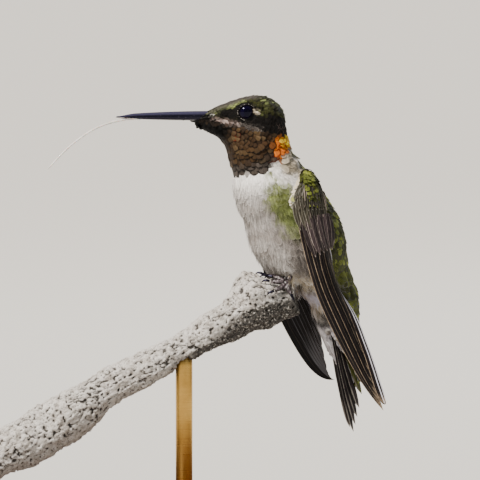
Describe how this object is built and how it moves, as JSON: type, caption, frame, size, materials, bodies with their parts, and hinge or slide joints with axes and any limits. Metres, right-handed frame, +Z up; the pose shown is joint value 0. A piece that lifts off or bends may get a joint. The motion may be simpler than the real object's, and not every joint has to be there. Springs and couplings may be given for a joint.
{
  "type": "hummingbird",
  "caption": "Life-size male ruby-throated hummingbird with its long tongue out, perched on a cut branch tip held by a plain oval stand.",
  "frame": {"origin": "centre of the underside of the stand, on the surface that the stand rests on", "axes": "+Z up; the bird looks towards -X, its breast turned towards -Y; +X to the right in the usual view along +Y"},
  "size_m": [0.084, 0.056, 0.0789],
  "materials": {
    "head_plumage": "Short overlapping feathers of the head: green scales over grey-brown, satin",
    "gorget_plumage": "Rounded scale feathers of the throat: bronze-brown that flashes orange-red and gold",
    "body_plumage": "Soft body feathers: white breast, grey streaked belly, green flanks, matt",
    "back_plumage": "Green scaly back and rump feathers with white undertail coverts, satin",
    "wing_coverts": "Small overlapping wing feathers, green to grey, satin",
    "flight_feathers": "Stiff dusky purple-brown vanes with pale edges, slight sheen",
    "tail_feathers": "Stiff blackish vanes with pale edges, slight purple sheen",
    "bill_horn": "Blackish horn, smooth and satin with a violet-blue sheen",
    "tongue_skin": "Moist translucent greyish white",
    "eye": "Very dark brown, wet and highly glossy",
    "foot_skin": "Dark grey-purple scaled skin, slight gloss",
    "claw_horn": "Black horn, glossy",
    "bark": "Pale grey lichened bark with dark pits and furrows, rough",
    "stand_wood": "Dark walnut, satin varnish",
    "stand_brass": "Satin brass"
  },
  "bodies": {
    "root": {"head": "head_plumage", "neck": "gorget_plumage", "trunk": "body_plumage", "rump": "back_plumage", "bill_upper": "bill_horn", "bill_lower": "bill_horn", "tongue": "tongue_skin", "eye_left": "eye", "wing_left_primaries": "flight_feathers", "wing_left_secondaries": "flight_feathers", "wing_left_coverts": "wing_coverts", "wing_left_shoulder": "wing_coverts", "tail_left": "tail_feathers", "leg_left": "foot_skin", "foot_left": "foot_skin", "claw_left_inner": "claw_horn", "claw_left_middle": "claw_horn", "claw_left_outer": "claw_horn", "claw_left_hind": "claw_horn", "eye_right": "eye", "wing_right_primaries": "flight_feathers", "wing_right_secondaries": "flight_feathers", "wing_right_coverts": "wing_coverts", "wing_right_shoulder": "wing_coverts", "tail_right": "tail_feathers", "leg_right": "foot_skin", "foot_right": "foot_skin", "claw_right_inner": "claw_horn", "claw_right_middle": "claw_horn", "claw_right_outer": "claw_horn", "claw_right_hind": "claw_horn", "perch": "bark", "stand_base": "stand_wood", "stand_rod": "stand_brass", "stand_collar": "stand_brass"}
  },
  "joints": []
}
